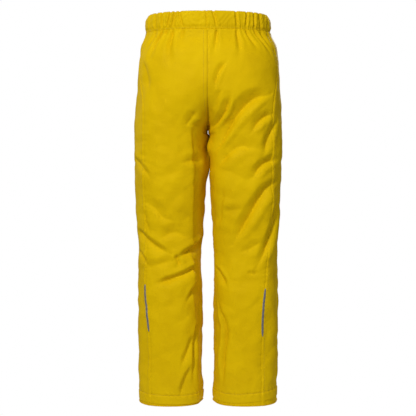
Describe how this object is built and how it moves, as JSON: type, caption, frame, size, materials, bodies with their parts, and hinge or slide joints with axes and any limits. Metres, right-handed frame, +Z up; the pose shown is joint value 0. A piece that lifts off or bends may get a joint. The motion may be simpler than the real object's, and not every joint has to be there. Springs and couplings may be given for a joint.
{
  "type": "rain over-trousers",
  "caption": "Pull-on waterproof over-trousers: gathered elastic waistband, taped seams, straight hemmed legs, reflective piping behind each calf. Hips and knees bend.",
  "frame": {"origin": "middle of the waist opening, level with the waistband's top edge", "axes": "+Z up along the legs, front faces -Y, the wearer's left is +X"},
  "size_m": [0.3066, 0.2031, 0.82],
  "materials": {
    "shell_cloth": "coated woven polyester, yellow",
    "seam_tape": "heat-sealed film, translucent grey",
    "elastic_web": "knitted elastic, off-white",
    "loop_webbing": "narrow woven ribbon, yellow",
    "label_weave": "blank woven label, white",
    "reflective_trim": "glass-bead reflective piping, grey"
  },
  "bodies": {
    "seat": {"waistband_casing": "shell_cloth", "waist_elastic": "elastic_web", "hanger_loop": "loop_webbing", "size_label": "label_weave", "crotch_seam_tape": "seam_tape", "left_front_panel_rise": "shell_cloth", "left_back_panel_seat": "shell_cloth", "left_outseam_tape_seat": "seam_tape", "right_front_panel_rise": "shell_cloth", "right_back_panel_seat": "shell_cloth", "right_outseam_tape_seat": "seam_tape"},
    "left_thigh": {"left_front_panel_thigh": "shell_cloth", "left_back_panel_thigh": "shell_cloth", "left_outseam_tape_thigh": "seam_tape", "left_inseam_tape_thigh": "seam_tape", "left_front_panel_hip_crease": "shell_cloth", "left_back_panel_hip_crease": "shell_cloth"},
    "right_thigh": {"right_front_panel_thigh": "shell_cloth", "right_back_panel_thigh": "shell_cloth", "right_outseam_tape_thigh": "seam_tape", "right_inseam_tape_thigh": "seam_tape", "right_front_panel_hip_crease": "shell_cloth", "right_back_panel_hip_crease": "shell_cloth"},
    "left_shin": {"left_front_panel_shin": "shell_cloth", "left_back_panel_shin": "shell_cloth", "left_outseam_tape_shin": "seam_tape", "left_inseam_tape_shin": "seam_tape", "left_hem_facing": "shell_cloth", "left_reflective_piping": "reflective_trim", "left_front_panel_knee_crease": "shell_cloth", "left_back_panel_knee_crease": "shell_cloth"},
    "right_shin": {"right_front_panel_shin": "shell_cloth", "right_back_panel_shin": "shell_cloth", "right_outseam_tape_shin": "seam_tape", "right_inseam_tape_shin": "seam_tape", "right_hem_facing": "shell_cloth", "right_reflective_piping": "reflective_trim", "right_front_panel_knee_crease": "shell_cloth", "right_back_panel_knee_crease": "shell_cloth"}
  },
  "joints": [
    {"name": "left_hip", "type": "hinge", "parent": "seat", "child": "left_thigh", "pos_m": [0.0765, -0.0017, -0.303], "axis": [-1, 0, 0], "range_deg": [-20, 90], "deforming": ["left_front_panel_hip_crease", "left_back_panel_hip_crease"]},
    {"name": "left_knee", "type": "hinge", "parent": "left_thigh", "child": "left_shin", "pos_m": [0.08, 0, -0.515], "axis": [1, 0, 0], "range_deg": [0, 90], "deforming": ["left_front_panel_knee_crease", "left_back_panel_knee_crease"]},
    {"name": "right_hip", "type": "hinge", "parent": "seat", "child": "right_thigh", "pos_m": [-0.0765, -0.0017, -0.303], "axis": [-1, 0, 0], "range_deg": [-20, 90], "deforming": ["right_front_panel_hip_crease", "right_back_panel_hip_crease"]},
    {"name": "right_knee", "type": "hinge", "parent": "right_thigh", "child": "right_shin", "pos_m": [-0.08, 0, -0.515], "axis": [1, 0, 0], "range_deg": [0, 90], "deforming": ["right_front_panel_knee_crease", "right_back_panel_knee_crease"]}
  ]
}
